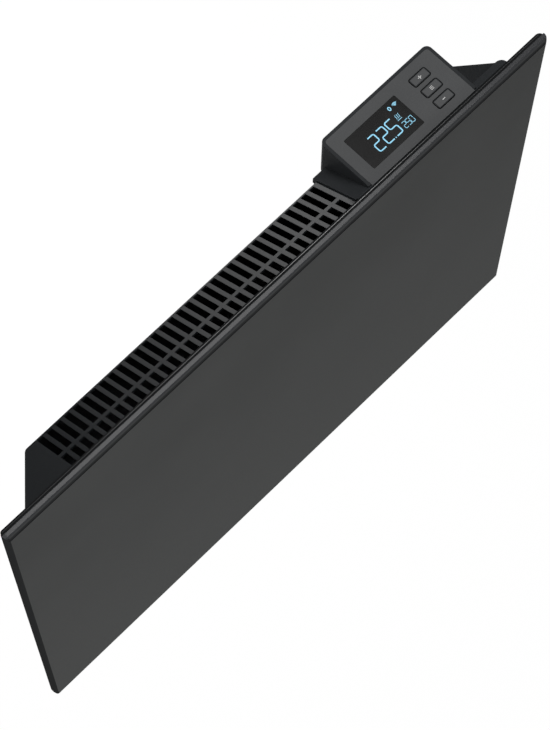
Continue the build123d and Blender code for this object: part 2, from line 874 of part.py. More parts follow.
sensor_z = corner_bottom_z + sensor_rise


def sensor_clip():
    """Clip on the casing's back for the room sensor."""
    half = clip_side / 2
    clip = block((sensor_place - half, casing_floor_y - clip_side, sensor_z - half),
                 (sensor_place + half, casing_floor_y, sensor_z + half))
    start = (sensor_place, casing_floor_y - half, sensor_z - half - overrun)
    return clip - round_bar(start, (0, 0, 1), clip_side + 2 * overrun, sensor_radius + fit_gap)


def room_sensor():
    """Room temperature sensor in the cool air above the inlet."""
    start = (sensor_place, casing_floor_y - clip_side / 2, sensor_z - sensor_length / 2)
    return round_bar(start, (0, 0, 1), sensor_length, sensor_radius)


def earth_stud():
    """Earth stud on the casing's back."""
    return round_bar((stud_place, casing_floor_y, entry_z), (0, -1, 0), stud_length, stud_radius)


def earth_nut():
    """Hexagon nut on the earth stud."""
    nut = hexagon_bar((stud_place, casing_floor_y, entry_z), (0, -1, 0), nut_height, nut_radius)
    return nut - round_bar((stud_place, casing_floor_y + overrun, entry_z), (0, -1, 0),
                           nut_height + 2 * overrun, stud_radius + fit_gap)


# Wires
tag_right_x = rod_right + seal_length + tag_length
tag_left_x = rod_left - seal_length - tag_length


def wire(points):
    """A thin six-sided wire along straight runs joined by arcs."""
    path = FilletPolyline(*points, radius=wire_bend)
    start = Plane(origin=path @ 0, z_dir=path % 0)
    return sweep(start * RegularPolygon(wire_radius, side_count), path=path)


def element_leads():
    """The two leads from the element's tags to the power board."""
    plug_x, plug_z = board_place(plug_place_share)
    plug_y = power_front_y - plug_size[1] / 2
    plug_low_z = plug_z - plug_size[2] / 2
    low_z = element_z + lead_rise
    high_z = low_z + 2 * wire_pitch
    left_x = tag_left_x - wire_lift
    right_x = tag_right_x + wire_lift
    left_end_x = plug_x - wire_pitch / 2
    right_end_x = plug_x + wire_pitch / 2
    left = [(tag_left_x, element_y, element_z), (left_x, element_y, element_z), (left_x, plug_y, low_z),
            (left_end_x, plug_y, low_z), (left_end_x, plug_y, plug_low_z)]
    right = [(tag_right_x, element_y, element_z), (right_x, element_y, element_z),
             (right_x, element_y, high_z), (right_end_x, plug_y, high_z), (right_end_x, plug_y, plug_low_z)]
    return group([wire(left), wire(right)])


def supply_leads():
    """Straight leads from the terminal block up to the power board."""
    low_z = terminal_z + terminal_size[2] / 2
    y = (power_front_y + power_back_y) / 2
    first_x = power_left + power_width - wire_pitch / 2
    length = power_low_z - low_z
    return group([round_bar((first_x - number * wire_pitch, y, low_z), (0, 0, 1), length, wire_radius)
                  for number in range(terminal_poles)])


def control_ribbon():
    """Flat cable from the control board down to the power board."""
    x = power_left + power_width / 2
    y = (power_front_y + power_back_y) / 2
    return block((x - ribbon_width / 2, y - ribbon_sheet / 2, power_top_z),
                 (x + ribbon_width / 2, y + ribbon_sheet / 2, board_top_z - board_sheet))


# Wall bracket
def wall_bracket():
    """Sheet frame for the wall with two hooks below and two lock pads above."""
    half_x = bracket_width / 2
    half_z = bracket_height / 2
    frame = block((-half_x, -bracket_sheet, -half_z), (half_x, 0, half_z))
    frame -= block((bracket_border - half_x, -overrun, bracket_border - half_z),
                   (half_x - bracket_border, overrun, half_z - bracket_border))
    hook_back_y = casing_floor_y - hook_gap
    hook_front_y = hook_back_y - bracket_sheet
    hook_top_z = bracket_sheet + hook_rise - half_z
    pad_back_y = casing_back_y + bracket_sheet
    for side in (-1, 1):
        low_x = side * arm_place - arm_width / 2
        high_x = side * arm_place + arm_width / 2
        frame += block((low_x, hook_front_y, -half_z), (high_x, 0, bracket_sheet - half_z))
        frame += block((low_x, hook_front_y, -half_z), (high_x, hook_back_y, hook_top_z))
        frame += block((low_x, casing_back_y, half_z - bracket_sheet), (high_x, 0, half_z))
        frame += block((low_x, casing_back_y, half_z - pad_height), (high_x, pad_back_y, half_z))
    for x in (-screw_reach_x, screw_reach_x):
        for z in (-screw_reach_z, screw_reach_z):
            frame -= round_bar((x, -overrun, z), (0, 1, 0), 2 * overrun, screw_hole_radius)
    for x, z in lock_places():
        frame -= round_bar((x, casing_back_y - overrun, z), (0, 1, 0), 2 * overrun, lock_radius + fit_gap)
    return frame


def lock_places():
    """Centres of the two lock screws, in X and Z."""
    height = bracket_height / 2 - pad_height / 2
    return [(-arm_place, height), (arm_place, height)]


def lock_screws():
    """Screws that lock the casing to the bracket's pads."""
    screws = []
    for x, z in lock_places():
        head_y = casing_back_y + bracket_sheet
        screw = hexagon_bar((x, head_y, z), (0, 1, 0), lock_head_height, lock_head)
        screw += round_bar((x, head_y, z), (0, -1, 0), bracket_sheet + casing_sheet + lock_tip, lock_radius)
        screws.append(screw)
    return group(screws)


def spacer_places():
    """Centres of the two lower spacers, in X and Z."""
    z = corner_bottom_z + spacer_rise
    return [(-spacer_place, z), (spacer_place, z)]


def wall_spacers():
    """Round spacers that keep the casing's lower edge off the wall."""
    spacers = []
    for x, z in spacer_places():
        spacer = round_bar((x, casing_back_y, z), (0, 1, 0), -casing_back_y, spacer_radius)
        spacer += round_bar((x, casing_back_y, z), (0, -1, 0), peg_length, peg_radius)
        spacers.append(spacer)
    return group(spacers)


# Screws
def floor_screw_places():
    """Screws into the casing's back: X, Z and the thickness each one holds."""
    places = [(place + side * holder_foot / 2, element_z, holder_sheet) for place, side in holder_places()]
    for side in (-1, 1):
        places.append((cutout_x + side * (strap_half + strap_ear / 2), cutout_z, strap_sheet))
    return places


def floor_screws():
    """Screws that hold the element's feet and the cut-out's strap."""
    screws = []
    for x, z, grip in floor_screw_places():
        head_y = casing_floor_y - grip
        screw = hexagon_bar((x, head_y, z), (0, -1, 0), screw_head_height, screw_head)
        screws.append(screw + round_bar((x, head_y, z), (0, 1, 0), grip + casing_sheet, screw_radius))
    return group(screws)


def casing_screw_places():
    """Screws through the casing's side folds into the frame, in X and Z."""
    height = rim_top_z - rim_bottom_z
    inset = side_fold - fold_screw_inset
    return [(x, rim_bottom_z + share * height) for x in (inset - reach_left, reach_right - inset)
            for share in casing_screw_share]


def panel_screw_places():
    """Screws through the frame into the panel's back folds, in X and Z."""
    x = panel_width / 2 - panel_screw_inset
    return [(side * x, bottom_z + share * panel_height) for side in (-1, 1) for share in panel_screw_share]


def screws_from_behind(places, head_y, grip):
    """Screws whose heads face the wall."""
    return group([hexagon_bar((x, head_y, z), (0, 1, 0), screw_head_height, screw_head)
                  + round_bar((x, head_y, z), (0, -1, 0), grip, screw_radius) for x, z in places])


def casing_screws():
    """Screws that hold the casing to the frame."""
    return screws_from_behind(casing_screw_places(), rim_y + casing_sheet, casing_sheet + frame_sheet)


def panel_screws():
    """Screws that hold the frame to the panel."""
    return screws_from_behind(panel_screw_places(), rim_y, frame_sheet + panel_sheet)


PARTS = (front_panel, panel_frame, rear_casing, control_housing, control_plate, display_window,
         display_module, key_guide, tact_switches, control_board, element_fins, element_rod, rod_seals,
         terminal_tags, heat_baffle, power_board, board_standoffs, board_relay, board_transformer,
         board_plug, board_capacitor, terminal_block, cable_gland, gland_nut, thermal_cutout,
         cutout_strap, sensor_clip, room_sensor, earth_stud, earth_nut, element_leads, supply_leads,
         control_ribbon, wall_bracket, lock_screws, wall_spacers, floor_screws, casing_screws, panel_screws)

for make in PARTS:
    write(make.__name__, make())
for number, node in enumerate(("key_minus", "key_menu", "key_plus")):
    write(node, key(number))
for (place, side), name in zip(holder_places(), ("left", "right")):
    write("element_holder_" + name, element_holder(place, side))
    write("holder_bush_" + name, holder_bush(place, side))
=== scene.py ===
import math

import bmesh
import bpy
from mathutils import Matrix, Vector


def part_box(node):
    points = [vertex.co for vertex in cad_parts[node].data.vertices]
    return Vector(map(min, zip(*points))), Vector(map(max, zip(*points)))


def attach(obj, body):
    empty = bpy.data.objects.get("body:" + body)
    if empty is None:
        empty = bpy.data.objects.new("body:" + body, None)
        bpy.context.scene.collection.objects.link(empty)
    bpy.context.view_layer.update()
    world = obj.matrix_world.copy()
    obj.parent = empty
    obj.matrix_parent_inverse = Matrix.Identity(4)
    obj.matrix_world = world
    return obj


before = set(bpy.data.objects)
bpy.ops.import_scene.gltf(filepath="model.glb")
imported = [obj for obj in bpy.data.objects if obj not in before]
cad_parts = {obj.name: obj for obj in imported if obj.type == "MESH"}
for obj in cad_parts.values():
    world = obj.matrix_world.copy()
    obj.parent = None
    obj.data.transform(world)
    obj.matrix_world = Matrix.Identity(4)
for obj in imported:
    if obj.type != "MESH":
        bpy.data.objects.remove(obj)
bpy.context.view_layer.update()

# A wall panel convector heater: its camera, light, finishes and small details.
# Everything is in metres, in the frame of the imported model: X along the panel,
# Y into the wall, Z up, with the origin in the middle of the wall screws.

MM = 0.001

# Places on the heater by which the finishes and the small pieces are set
panel_low, panel_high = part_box("front_panel")
panel_bottom = panel_low[2]
panel_top = panel_high[2]
face_right = max(vert.co.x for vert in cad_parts["front_panel"].data.vertices
                 if vert.co.y < panel_low[1] + 0.01 * MM)
frame_low, frame_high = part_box("panel_frame")
housing_low, housing_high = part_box("control_housing")
plate_low, plate_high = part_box("control_plate")
plate_top = plate_high[2]
window_low, window_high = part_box("display_window")
key_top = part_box("key_menu")[1][2]
rim_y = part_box("rear_casing")[0][1]


# Finishes
class Signal:
    """A value that varies over a surface. Arithmetic on it adds Math nodes."""

    def __init__(self, tree, socket):
        self.tree = tree
        self.socket = socket

    def math(self, operation, *values):
        """One Math node on the given values."""
        settings = {"operation": operation}
        return self.tree.node("ShaderNodeMath", settings, dict(enumerate(values)))

    def __abs__(self):
        return self.math("ABSOLUTE", self)

    def __add__(self, other):
        return self.math("ADD", self, other)

    def __sub__(self, other):
        return self.math("SUBTRACT", self, other)

    def __rsub__(self, other):
        return self.math("SUBTRACT", other, self)

    def __mul__(self, other):
        return self.math("MULTIPLY", self, other)

    __radd__ = __add__
    __rmul__ = __mul__

    def above(self, low, high):
        """0 below low, 1 above high, and a smooth step between."""
        settings = {"interpolation_type": "SMOOTHSTEP"}
        sockets = {"Value": self, "From Min": low, "From Max": high}
        return self.tree.node("ShaderNodeMapRange", settings, sockets)


class Tree:
    """The nodes of a material or of the surroundings."""

    def __init__(self, owner):
        owner.use_nodes = True
        self.nodes = owner.node_tree.nodes
        self.links = owner.node_tree.links

    def put(self, socket, value):
        """Link a signal to a socket, or set the socket's own value."""
        if isinstance(value, Signal):
            self.links.new(value.socket, socket)
        else:
            socket.default_value = value

    def node(self, kind, settings=None, sockets=None, output=0):
        """One node: its settings first, then the values or links of its sockets."""
        made = self.nodes.new(kind)
        for key, value in (settings or {}).items():
            setattr(made, key, value)
        for key, value in (sockets or {}).items():
            self.put(made.inputs[key], value)
        return Signal(self, made.outputs[output])

    def background_rays(self, gloss_share):
        """1 for the camera's rays and those through glass, and a share of it for a gloss's."""
        camera = self.node("ShaderNodeLightPath", output="Is Camera Ray")
        through = self.node("ShaderNodeLightPath", output="Is Transmission Ray")
        gloss = self.node("ShaderNodeLightPath", output="Is Glossy Ray")
        return camera + through + gloss * gloss_share

    def mixed(self, mask, first, second, output):
        """Mix two shaders into an output node."""
        mix = self.node("ShaderNodeMixShader", sockets={0: mask, 1: first, 2: second})
        self.put(output.inputs["Surface"], mix)


class Finish(Tree):
    """A procedural material with its shader and the nodes that feed it."""

    def __init__(self, name, roughness, metallic=0.0, specular=0.5):
        self.material = bpy.data.materials.new(name)
        super().__init__(self.material)
        self.shader = self.nodes["Principled BSDF"]
        self.surface(Roughness=roughness, Metallic=metallic, Specular_IOR_Level=specular)

    def surface(self, **sockets):
        """Feed the shader's sockets, named with _ in place of a space."""
        for key, value in sockets.items():
            self.put(self.shader.inputs[key.replace("_", " ")], value)

    def place(self):
        """Position on the object, in metres."""
        return self.node("ShaderNodeTexCoord", output="Object")

    def along(self, axis):
        """Position on the object along an axis, 0 to 2 for X to Z, in metres."""
        return self.node("ShaderNodeSeparateXYZ", sockets={0: self.place()}, output=axis)

    def grain(self, size, detail=2.0, rough=0.5, stretch=(1, 1, 1)):
        """Noise from 0 to 1 whose cells are about a size across, in metres."""
        spread = self.node("ShaderNodeMapping", sockets={"Vector": self.place(), "Scale": stretch})
        sockets = {"Vector": spread, "Scale": 1 / size, "Detail": detail, "Roughness": rough}
        return self.node("ShaderNodeTexNoise", sockets=sockets)

    def blend(self, mask, first, second):
        """A colour that goes from the first to the second as the mask rises."""
        sockets = {0: mask, 6: first, 7: second}
        return self.node("ShaderNodeMix", {"data_type": "RGBA"}, sockets, 2)

    def relief(self, height, depth):
        """A bump from a height signal, as deep as given in metres."""
        return self.node("ShaderNodeBump", sockets={"Height": height, "Distance": depth})

    def paint_mask(self):
        """Where powder paint is lighter, as faint clouds with fine specks, and the specks."""
        clouds = self.grain(0.09, detail=3.0)
        speck = self.grain(0.0011)
        return (clouds * 0.55 + speck * 0.45).above(0.36, 0.66), speck


def shade(red, green, blue):
    """A colour given as it shows on a screen, 0 to 255."""
    def linear(level):
        level = level / 255
        return level / 12.92 if level <= 0.04045 else ((level + 0.055) / 1.055) ** 2.4
    return (linear(red), linear(green), linear(blue), 1.0)


def powder_coat(name, colour, lighter, roughness=0.55, specular=0.22, peel=0.00003):
    """Baked powder paint: fine grain, faint clouds and a soft satin gloss."""
    finish = Finish(name, roughness, specular=specular)
    mask, speck = finish.paint_mask()
    pores = finish.grain(0.0007, detail=1.0)
    finish.surface(Base_Color=finish.blend(mask, colour, lighter),
                   Roughness=(speck * 0.3 + 0.85) * roughness,
                   Normal=finish.relief(speck * 0.7 + pores * 0.3, peel))
    return finish.material


# Bands along the panel's rolled top, the crease band being painted shade: how far below its top
# each one starts and is full
CREASE_SHADE_BAND = (5.2 * MM, 4.2 * MM)
BEAD_FRONT = (2.5 * MM, 1.2 * MM)
BEND = (1.5 * MM, 1.0 * MM)
TOP_SIDE = (0.4 * MM, 0.2 * MM)
# The sides' painted shade starts this far before the face's edge and is full this far past it
SIDE_SHADE_START = 0.05 * MM
SIDE_SHADE_FULL = 0.1 * MM
# Painted light: the face is lighter towards its bottom, in a slow fade that reaches this far past
# its bottom and its top
LIGHT_FADE_REACH = 40 * MM


def panel_coat(name, colour, lighter, darker, side, trim):
    """The panel's paint: matt, with painted shade in the crease and on the sides, painted light
    low on its face, smoother along the top.
    """
    finish = Finish(name, 0.5, specular=0.15)
    mask, speck = finish.paint_mask()
    height = finish.along(2)
    over_face, over_crease, on_bend, on_top = (
        height.above(panel_top - start, panel_top - full)
        for start, full in (CREASE_SHADE_BAND, BEAD_FRONT, BEND, TOP_SIDE))
    painted_crease_shade = over_face - over_crease
    from_middle = abs(finish.along(0))
    on_side_painted_shade = from_middle.above(face_right - SIDE_SHADE_START, face_right + SIDE_SHADE_FULL)
    painted_light_fade = height.above(panel_bottom - LIGHT_FADE_REACH, panel_top + LIGHT_FADE_REACH)
    # Painted light: the face is lighter towards its bottom
    paint = finish.blend(painted_light_fade, lighter, colour)
    paint = finish.blend(mask * 0.5, paint, lighter)
    # Painted shade in the crease under the bead
    paint = finish.blend(painted_crease_shade, paint, darker)
    # Painted shade on the panel's sides
    paint = finish.blend(on_side_painted_shade, paint, side)
    paint = finish.blend(on_bend, paint, trim)
    finish.surface(Base_Color=paint,
                   Roughness=speck * 0.1 + on_side_painted_shade * 0.25 + 0.5 - on_top * 0.34,
                   Normal=finish.relief(speck, 0.000004))
    return finish.material


# Painted shade: the plate and the caps are this dark below their outer skin, where the gaps are
GAP_SHADE = shade(24, 25, 26)
GAP_FADE = 0.3 * MM
PLATE_SKIN = 0.1 * MM
CAP_SKIN = 0.2 * MM


def moulded_plastic(name, colour, lighter, specular, painted_shade_below=None):
    """Moulded plastic with a spark-eroded texture, with painted shade in its gaps below a height
    if given.
    """
    finish = Finish(name, 0.6, specular=specular)
    erosion = finish.grain(0.0006, rough=0.6)
    flow = finish.grain(0.03)
    mask = (erosion * 0.6 + flow * 0.4).above(0.38, 0.64)
    colours = finish.blend(mask, colour, lighter)
    if painted_shade_below:
        # Painted shade in the gaps below the given height
        above_gap_shade = finish.along(2).above(painted_shade_below - GAP_FADE, painted_shade_below)
        colours = finish.blend(above_gap_shade, GAP_SHADE, colours)
    finish.surface(Base_Color=colours,
                   Roughness=erosion * 0.14 + 0.53,
                   Normal=finish.relief(erosion, 0.00003))
    return finish.material


def dark_glass(name, colour, lighter):
    """Tinted display window, smooth and nearly black."""
    finish = Finish(name, 0.22, specular=0.03)
    haze = finish.grain(0.02)
    wipe = finish.grain(0.004, stretch=(0.3, 1, 1))
    finish.surface(Base_Color=finish.blend(haze.above(0.4, 0.65), colour, lighter),
                   Roughness=wipe * 0.08 + 0.18)
    return finish.material


def lit_segment(name, colour, brighter, power):
    """A lit part of the display, a little uneven."""
    finish = Finish(name, 0.4, specular=0.2)
    patches = finish.grain(0.0012, detail=1.0)
    glow = finish.blend(patches.above(0.35, 0.6), colour, brighter)
    finish.surface(Base_Color=colour, Emission_Color=glow, Emission_Strength=power)
    return finish.material


def printed_ink(name, colour, faded):
    """Pad-printed ink with a slightly uneven edge and cover."""
    finish = Finish(name, 0.6, specular=0.2)
    cover = finish.grain(0.0005)
    finish.surface(Base_Color=finish.blend(cover.above(0.3, 0.62), faded, colour),
                   Normal=finish.relief(cover, 0.00001))
    return finish.material


def drawn_metal(name, colour, darker, roughness=0.35, stretch=(1, 1, 1)):
    """Unpainted steel, aluminium or brass with a fine drawn grain."""
    finish = Finish(name, roughness, metallic=1.0)
    drawn = finish.grain(0.0015, detail=3.0, stretch=stretch)
    spangle = finish.grain(0.006, detail=1.0)
    mask = (drawn * 0.5 + spangle * 0.5).above(0.35, 0.65)
    finish.surface(Base_Color=finish.blend(mask, darker, colour),
                   Roughness=spangle * 0.2 + (roughness - 0.1),
                   Normal=finish.relief(drawn, 0.00001))
    return finish.material


def soft_rubber(name, colour, lighter):
    """Dull moulded rubber or silicone, dusty on its high spots."""
    finish = Finish(name, 0.75, specular=0.25)
    dust = finish.grain(0.003, detail=3.0)
    fine = finish.grain(0.0005, detail=1.0)
    finish.surface(Base_Color=finish.blend(dust.above(0.45, 0.7), colour, lighter),
                   Roughness=dust * 0.15 + 0.68,
                   Normal=finish.relief(fine, 0.00002))
    return finish.material


def fired_ceramic(name, colour, darker):
    """Unglazed steatite ceramic."""
    finish = Finish(name, 0.7, specular=0.3)
    pores = finish.grain(0.0008, detail=3.0)
    finish.surface(Base_Color=finish.blend(pores.above(0.35, 0.6), darker, colour),
                   Normal=finish.relief(pores, 0.00004))
    return finish.material


def circuit_lacquer(name, colour, copper):
    """Green solder lacquer with paler tracks under it."""
    finish = Finish(name, 0.35, specular=0.5)
    tracks = finish.node("ShaderNodeTexBrick", {"offset": 0.5}, {
        "Vector": finish.place(), "Scale": 60.0, "Mortar Size": 0.03,
        "Color1": colour, "Color2": colour, "Mortar": copper})
    finish.surface(Base_Color=tracks, Roughness=finish.grain(0.004) * 0.15 + 0.3)
    return finish.material


# darker is painted shade for the crease, side is painted shade for the sides, lighter is both the
# paint's lighter clouds and painted light low on the face
PANEL = panel_coat("panel_coat", colour=shade(62, 63, 63), lighter=shade(73, 74, 74),
                   darker=shade(36, 37, 38), side=shade(33, 34, 35), trim=shade(54, 55, 57))
# The frame's dark paint is made darker than the casing's, as painted shade in the gap along the
# panel's top
FRAME = powder_coat("frame_coat", shade(24, 25, 26), shade(28, 29, 30), specular=0.06)
EDGE = powder_coat("worn_edge", shade(47, 48, 49), shade(52, 53, 54),
                   roughness=0.17, specular=1.0, peel=0.000005)
CASING = powder_coat("casing_coat", shade(29, 31, 33), shade(32, 34, 36),
                     roughness=0.16, specular=0.15, peel=0.000004)
BRACKET = powder_coat("bracket_coat", shade(50, 51, 53), shade(57, 58, 60), peel=0.00004)
HOUSING = moulded_plastic("housing_plastic", shade(41, 43, 45), shade(46, 48, 50), specular=0.1)
# The plate and the keys get painted shade in their gaps
FACE = moulded_plastic("face_plastic", shade(78, 79, 80), shade(84, 85, 86), specular=0.1,
                       painted_shade_below=plate_top - PLATE_SKIN)
CAPS = moulded_plastic("key_plastic", shade(81, 82, 83), shade(87, 88, 89), specular=0.1,
                       painted_shade_below=key_top - CAP_SKIN)
GLASS = dark_glass("display_glass", shade(31, 31, 31), shade(36, 36, 36))
INNER = moulded_plastic("inner_plastic", shade(16, 17, 18), shade(22, 23, 24), specular=0.15)
BOARD = circuit_lacquer("board_lacquer", shade(10, 24, 17), shade(26, 46, 32))
FINS = drawn_metal("fin_aluminium", shade(190, 192, 195), shade(165, 168, 170),
                   roughness=0.4, stretch=(0.1, 1, 1))
STEEL = drawn_metal("plated_steel", shade(172, 174, 176), shade(140, 143, 146))
BRASS = drawn_metal("turned_brass", shade(196, 168, 104), shade(170, 140, 80), roughness=0.3)
CERAMIC = fired_ceramic("fired_ceramic", shade(226, 222, 210), shade(205, 200, 186))
SILICONE = soft_rubber("silicone_rubber", shade(60, 60, 62), shade(80, 80, 82))
SPACER = soft_rubber("spacer_rubber", shade(28, 28, 29), shade(44, 44, 44))
LIT = lit_segment("lit_segment", shade(138, 200, 226), shade(146, 208, 232), power=0.4)
INK = printed_ink("key_ink", shade(236, 236, 234), shade(205, 205, 203))

NODE_FINISH = {
    PANEL: ["front_panel"],
    FRAME: ["panel_frame"],
    CASING: ["rear_casing"],
    BRACKET: ["wall_bracket"],
    HOUSING: ["control_housing"],
    FACE: ["control_plate"],
    CAPS: ["key_minus", "key_menu", "key_plus"],
    GLASS: ["display_window"],
    INNER: ["display_module", "key_guide", "tact_switches", "board_standoffs", "board_relay",
            "board_transformer", "board_plug", "board_capacitor", "cable_gland", "gland_nut",
            "thermal_cutout", "sensor_clip"],
    BOARD: ["control_board", "power_board"],
    FINS: ["element_fins"],
    STEEL: ["element_rod", "terminal_tags", "element_holder_left", "element_holder_right",
            "heat_baffle", "cutout_strap", "room_sensor", "lock_screws", "floor_screws",
            "casing_screws", "panel_screws"],
    BRASS: ["earth_stud", "earth_nut"],
    CERAMIC: ["rod_seals", "terminal_block"],
    SILICONE: ["holder_bush_left", "holder_bush_right", "element_leads", "supply_leads",
               "control_ribbon"],
    SPACER: ["wall_spacers"],
}
for material, names in NODE_FINISH.items():
    for name in names:
        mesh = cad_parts[name].data
        mesh.materials.clear()
        mesh.materials.append(material)


# Small pieces
FILM = 0.04 * MM        # thickness of what is printed or lit
GLASS_EDGE = 1.5 * MM   # from the display window's edge to what it shows
SIGN_WIDTH = 0.42 * MM  # of the strokes on the keys
CAP_DEPTH = 0.8 * MM    # the top part of a key, whose outline the rim follows
RIM = 0.5 * MM          # width of the rim round a cap
RIM_BEND = 0.7 * MM     # radius of the rim's corners
CASING_SLOPE = 34.5     # degrees, the casing's slope behind the lip
SEGMENTS = {"0": "abcdef", "2": "abged", "5": "afgcd"}


def settle_order(form):
    """Order edges and faces by their corners, as extrude leaves their order to chance."""
    form.verts.index_update()
    for items in (form.edges, form.faces):
        ranked = sorted(items, key=lambda item: sorted(vert.index for vert in item.verts))
        ranks = {item: rank for rank, item in enumerate(ranked)}
        items.sort(key=ranks.get)


def finished_piece(name, form, material, body):
    """Turn a bmesh into a piece that rides on a body."""
    settle_order(form)
    bmesh.ops.recalc_face_normals(form, faces=form.faces)
    mesh = bpy.data.meshes.new(name)
    form.to_mesh(mesh)
    form.free()
    mesh.materials.append(material)
    piece = bpy.data.objects.new(name, mesh)
    bpy.context.scene.collection.objects.link(piece)
    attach(piece, body)


def raised_outline(form, points, low_z):
    """A film with an outline in X and Y."""
    face = form.faces.new([form.verts.new((x, y, low_z)) for x, y in points])
    risen = bmesh.ops.extrude_face_region(form, geom=[face])["geom"]
    verts = [item for item in risen if isinstance(item, bmesh.types.BMVert)]
    bmesh.ops.translate(form, verts=verts, vec=(0, 0, FILM))


def stroke(form, points, width, low_z):
    """A line of even width along points, as one film."""
    path = [Vector(point) for point in points]
    left = []
    right = []
    for number, point in enumerate(path):
        before = path[max(number - 1, 0)]
        after = path[min(number + 1, len(path) - 1)]
        along = (after - before).normalized()
        side = Vector((-along.y, along.x)) * width / 2
        left.append(point + side)
        right.append(point - side)
    raised_outline(form, left + right[::-1], low_z)


def wave(x, low_y, high_y, sway, steps=12):
    """Points of an upright wavy line."""
    rise = high_y - low_y
    return [(x + sway * math.sin(2 * math.pi * step / steps), low_y + rise * step / steps)
            for step in range(steps + 1)]


def ring(x, y, radius_x, radius_y, start=0, end=2 * math.pi, steps=24):
    """Points along an ellipse or a part of one."""
    turns = [start + (end - start) * step / steps for step in range(steps + 1)]
    return [(x + radius_x * math.cos(turn), y + radius_y * math.sin(turn)) for turn in turns]


def digit(form, sign, x, y, width, height, weight, low_z):
    """A seven-segment digit with its lower left corner at x, y and its corners cut."""
    half = weight / 2
    cut = 0.9 * weight
    overshoot = 0.6 * cut
    middle = y + height / 2
    left = x + half
    right = x + width - half
    low = y + half
    high = y + height - half
    runs = {
        "a": [(left + cut, high), (right - cut, high)],
        "g": [(left + cut, middle), (right - cut, middle)],
        "d": [(left + cut, low), (right - cut, low)],
        "f": [(left, high - cut), (left, middle + cut)],
        "b": [(right, high - cut), (right, middle + cut)],
        "e": [(left, middle - cut), (left, low + cut)],
        "c": [(right, middle - cut), (right, low + cut)],
    }
    joints = {
        "af": [(left, high - cut), (left + cut, high)],
        "ab": [(right - cut, high), (right, high - cut)],
        "de": [(left, low + cut), (left + cut, low)],
        "cd": [(right - cut, low), (right, low + cut)],
        "bg": [(right, middle + cut), (right - cut, middle)],
        "eg": [(left + cut, middle), (left, middle - cut)],
        "fg": [(left, middle + cut), (left + cut, middle)],
        "cg": [(right - cut, middle), (right, middle - cut)],
    }
    lit = SEGMENTS[sign]
    for key, corners in (("a", "fb"), ("d", "ec")):
        for end, corner in enumerate(corners):
            if corner not in lit:
                end_x, end_y = runs[key][end]
                runs[key][end] = (end_x + (overshoot if end else -overshoot), end_y)
    for key in lit:
        stroke(form, runs[key], weight, low_z)
    for pair, points in joints.items():
        if pair[0] in lit and pair[1] in lit:
            stroke(form, points, weight, low_z)


def on_display(x, y):
    """A place on the display, in millimetres from its lower left corner."""
    return window_low[0] + GLASS_EDGE + x * MM, window_low[1] + GLASS_EDGE + y * MM


def display_number(form, signs, low_y, width, height, weight):
    """A row of digits on the display, in millimetres, each sign with its left end."""
    for sign, left_x in signs:
        left, low = on_display(left_x, low_y)
        digit(form, sign, left, low, width * MM, height * MM, weight * MM, window_high[2])


def display_digits():
    """The large temperature with its point, and the small number beside it."""
    form = bmesh.new()
    display_number(form, (("2", 10.3), ("2", 17.5), ("5", 24.6)),
                   low_y=4.7, width=5.9, height=12.1, weight=0.8)
    point_x, point_y = on_display(23.95, 5.1)
    point_radius = 0.42 * MM
    outline = ring(point_x, point_y, point_radius, point_radius)[:-1]
    raised_outline(form, outline, window_high[2])
    display_number(form, (("2", 32.5), ("5", 35.3), ("0", 38.1)),
                   low_y=4.75, width=2.6, height=4.75, weight=0.32)
    finished_piece("display_digits", form, LIT, "heater")


def display_signs():
    """Slanted heat waves over a bar, an oval and a signal fan, in millimetres."""
    wave_low, wave_high, slant = 12.8, 15.7, 0.3
    bar_y = 11.9
    fan_x, fan_y = 39.0, 19.7
    fan_start, fan_end = math.radians(47), math.radians(133)
    lines = []
    for wave_x in (32.8, 34.0, 35.2):
        upright = wave(wave_x, wave_low, wave_high, sway=0.2)
        lines.append(([(a + slant * (b - wave_low), b) for a, b in upright], 0.32))
    lines.append(([(32.4, bar_y), (36.0, bar_y)], 0.34))
    lines.append((ring(34.5, 21.0, 0.8, 1.2), 0.6))
    for radius in (0.7, 1.3, 1.9, 2.5):
        arc = ring(fan_x, fan_y, radius, radius, fan_start, fan_end, steps=10)
        lines.append((arc, 0.4))
    form = bmesh.new()
    for points, width in lines:
        stroke(form, [on_display(a, b) for a, b in points], width * MM, window_high[2])
    finished_piece("display_signs", form, LIT, "heater")


def key_sign(node, strokes):
    """A printed sign in the middle of a key's cap, its strokes in millimetres."""
    low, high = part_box(node)
    x = (low[0] + high[0]) / 2
    y = (low[1] + high[1]) / 2
    form = bmesh.new()
    for points in strokes:
        placed = [(x + a * MM, y + b * MM) for a, b in points]
        stroke(form, placed, SIGN_WIDTH, high[2])
    finished_piece(node + "_sign", form, INK, node)


def key_gap_shade(node):
    """A dark rim of housing plastic round a key's cap, as painted shade of the gap round the key.
    """
    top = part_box(node)[1][2]
    cap = [vert.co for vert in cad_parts[node].data.vertices if vert.co.z > top - CAP_DEPTH]
    right = max(place.x for place in cap) - RIM / 2 - RIM_BEND
    left = min(place.x for place in cap) + RIM / 2 + RIM_BEND
    back = max(place.y for place in cap) - RIM / 2 - RIM_BEND
    front = min(place.y for place in cap) + RIM / 2 + RIM_BEND
    path = []
    bends = ((right, back), (left, back), (left, front), (right, front))
    for quarter, (x, y) in enumerate(bends):
        start = quarter * math.pi / 2
        path += ring(x, y, RIM_BEND, RIM_BEND, start, start + math.pi / 2, steps=6)
    form = bmesh.new()
    stroke(form, path + path[:1], RIM, top)
    finished_piece(node + "_gap_shade", form, HOUSING, node)


